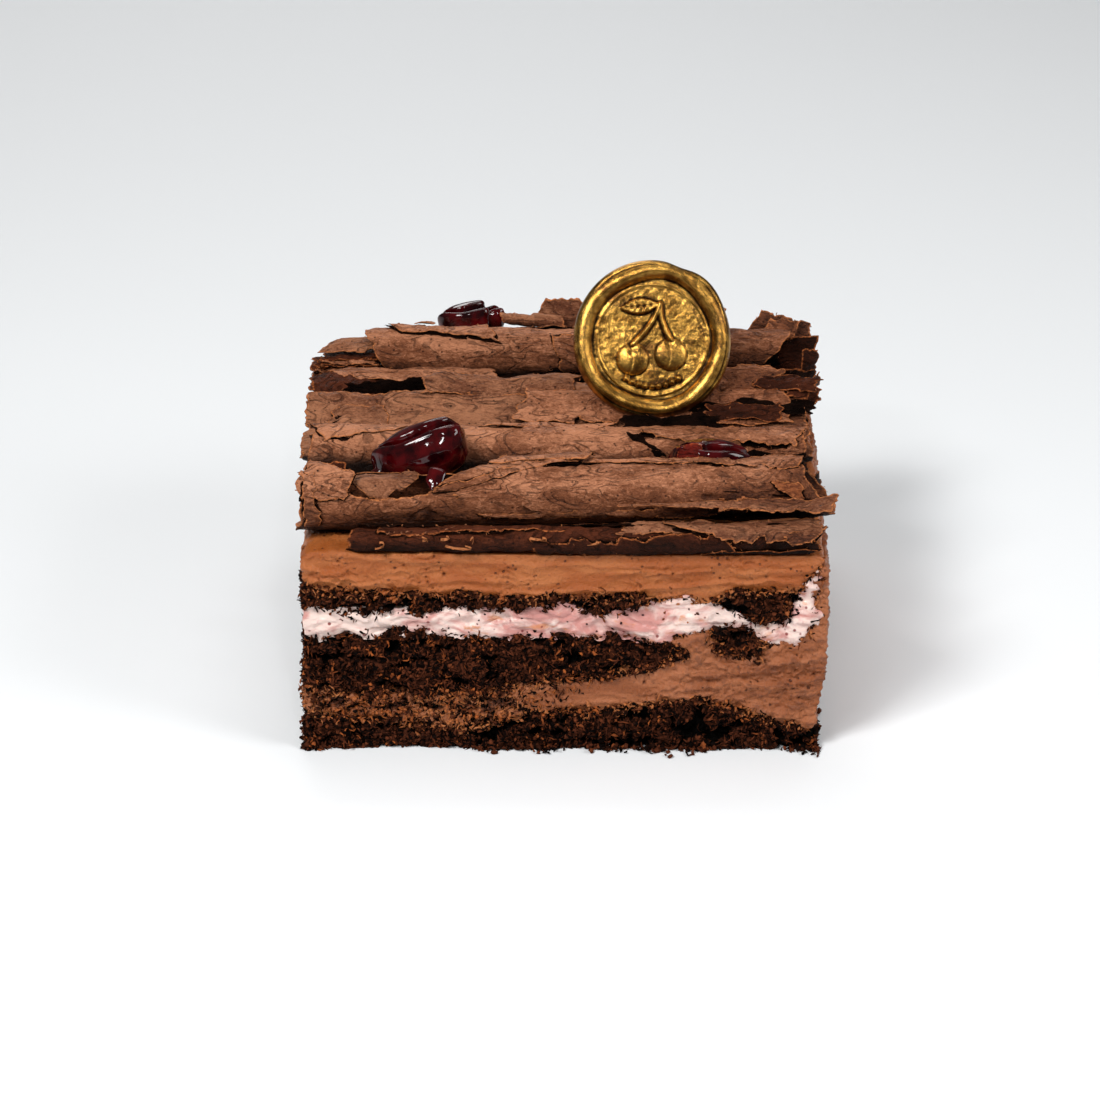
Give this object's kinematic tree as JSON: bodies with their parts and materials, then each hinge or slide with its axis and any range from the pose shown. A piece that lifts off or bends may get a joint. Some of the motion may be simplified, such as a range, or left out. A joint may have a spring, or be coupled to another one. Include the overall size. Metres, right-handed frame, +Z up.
{
  "type": "black forest cake",
  "caption": "Cut block of dark chocolate sponge, mousse and cherry cream, roofed with milk chocolate curls, cherries and a gold chocolate seal.",
  "frame": {"origin": "under the middle of the whole outline, on the plane that the cake stands on", "axes": "+Z up, the cut front with all layers looks along -Y, the curls lie along X with the iced end at +X"},
  "size_m": [0.1078, 0.0994, 0.0782],
  "materials": {
    "sponge": "dry open-crumbed dark chocolate sponge, almost black, no shine",
    "mousse": "smooth milk chocolate mousse with fine air holes, soft satin shine",
    "cherry_cream": "pale pink whipped cream marbled with white and flecked with cherry, moist shine",
    "curls": "thin scraped milk chocolate with fine swirled grain and paler torn edges, dull satin",
    "cherry": "very dark red cherry wet with syrup, mirror-like highlights",
    "gold": "edible gold over chocolate, worn bright on the rim and brown in the hollows"
  },
  "bodies": {
    "root": {"sponge_bottom": "sponge", "mousse_lower": "mousse", "sponge_middle": "sponge", "sponge_middle_scrap": "sponge", "cherry_cream": "cherry_cream", "sponge_top_left": "sponge", "sponge_top_right": "sponge", "mousse_top": "mousse", "curl_front": "curls", "curl_second": "curls", "curl_fourth": "curls", "curl_under_front": "curls", "flake_cherry": "curls", "curl_under_back": "curls", "curl_back_twisted": "curls", "sheet_third": "curls", "sheet_valley_left": "curls", "curl_valley_right": "curls", "curl_valley_middle": "curls", "sheet_between": "curls", "sheet_right_low": "curls", "sheet_right_high": "curls", "curl_right_flared": "curls", "plate_left_low": "curls", "plate_left_middle": "curls", "plate_left_upper": "curls", "plate_left_high": "curls", "plate_left_spike": "curls", "sheet_front_right": "curls", "tongue_front": "curls", "flake_left_upper": "curls", "flake_left_lower": "curls", "flake_back_upright": "curls", "flake_back_right": "curls", "flake_back_middle": "curls", "flake_right_dark": "curls", "cherry_left": "cherry", "cherry_right": "cherry", "cherry_back": "cherry", "gold_seal": "gold"}
  },
  "joints": []
}
